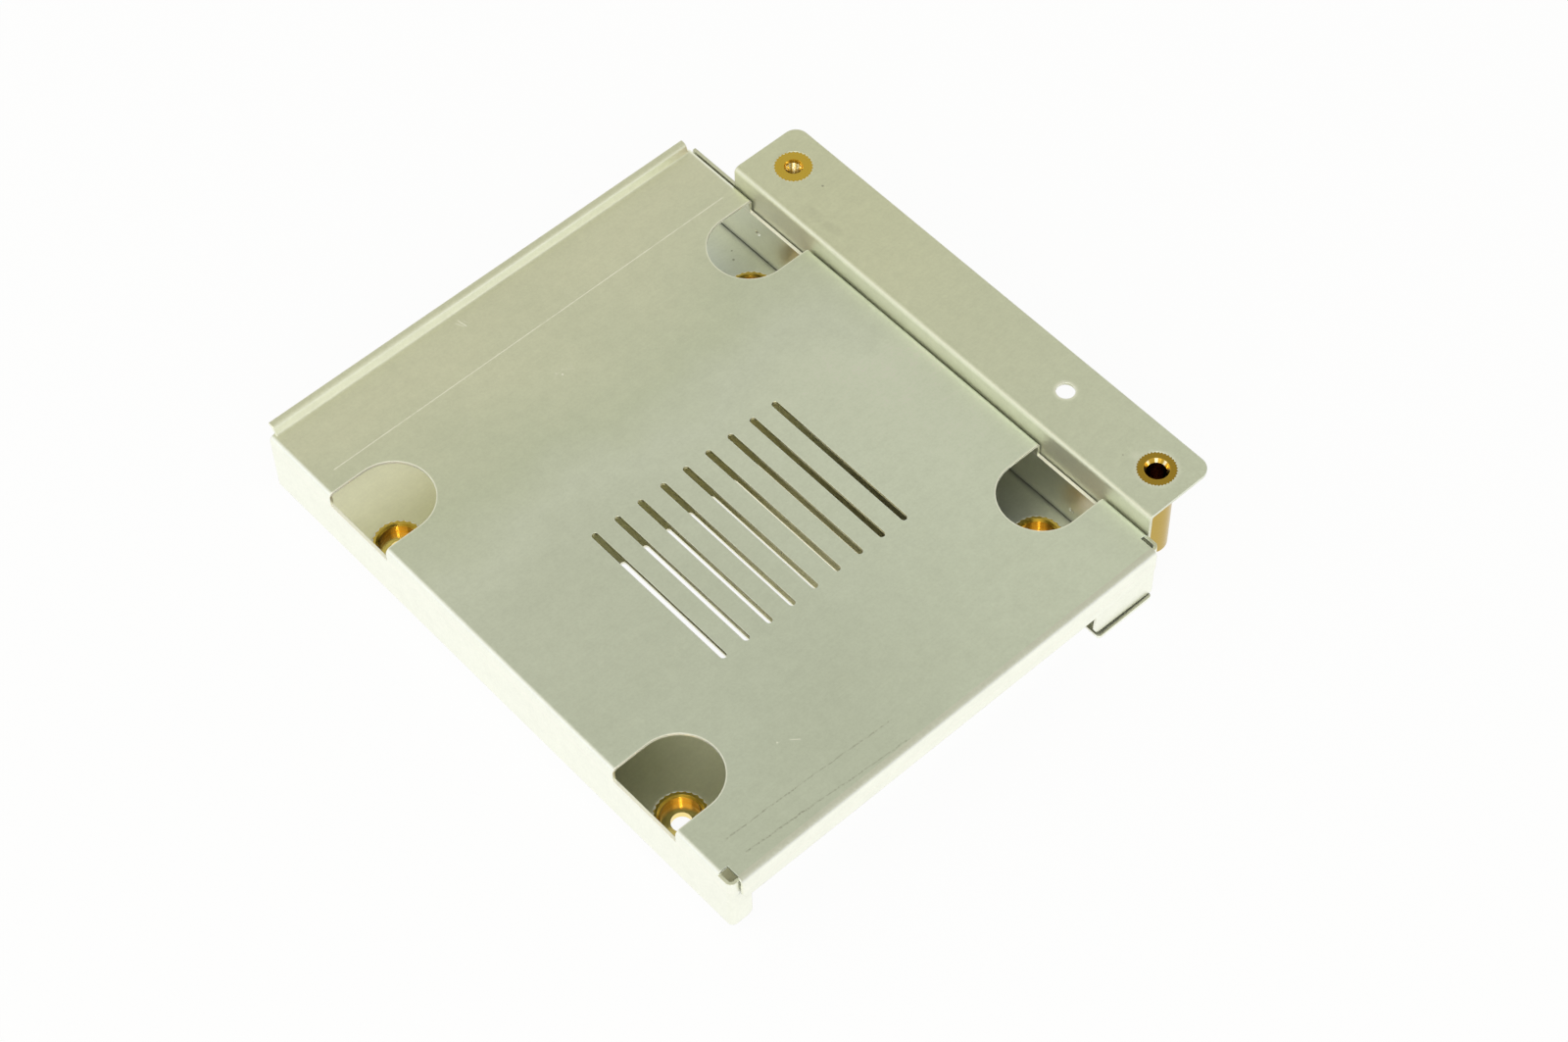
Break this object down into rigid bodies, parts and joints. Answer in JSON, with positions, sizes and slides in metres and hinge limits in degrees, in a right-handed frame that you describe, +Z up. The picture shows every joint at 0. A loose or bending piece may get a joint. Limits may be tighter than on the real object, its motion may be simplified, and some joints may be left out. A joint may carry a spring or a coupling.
{
  "type": "laptop drive caddy",
  "caption": "Shallow folded-steel caddy for a laptop drive, with an open rear, vent slots, access cut-outs over counterbored brass bushes and a raised side flange with brass standoffs.",
  "frame": {"origin": "centre of the four bush holes, on the plane of the bushes' lower ends", "axes": "+X across the caddy towards the mounting flange, +Y towards the open rear end with the flared lip, +Z up from the bushes' lower ends"},
  "size_m": [0.0944, 0.1026, 0.0175],
  "materials": {
    "plated_steel": "zinc-plated sheet with a fine mottled grain and light scratches",
    "turned_brass": "bright turned and knurled brass"
  },
  "bodies": {
    "root": {"top_cover": "plated_steel", "base_plate": "plated_steel", "bush_front_left": "turned_brass", "bush_front_right": "turned_brass", "bush_rear_left": "turned_brass", "bush_rear_right": "turned_brass", "standoff_front": "turned_brass", "standoff_rear": "turned_brass"}
  },
  "joints": []
}
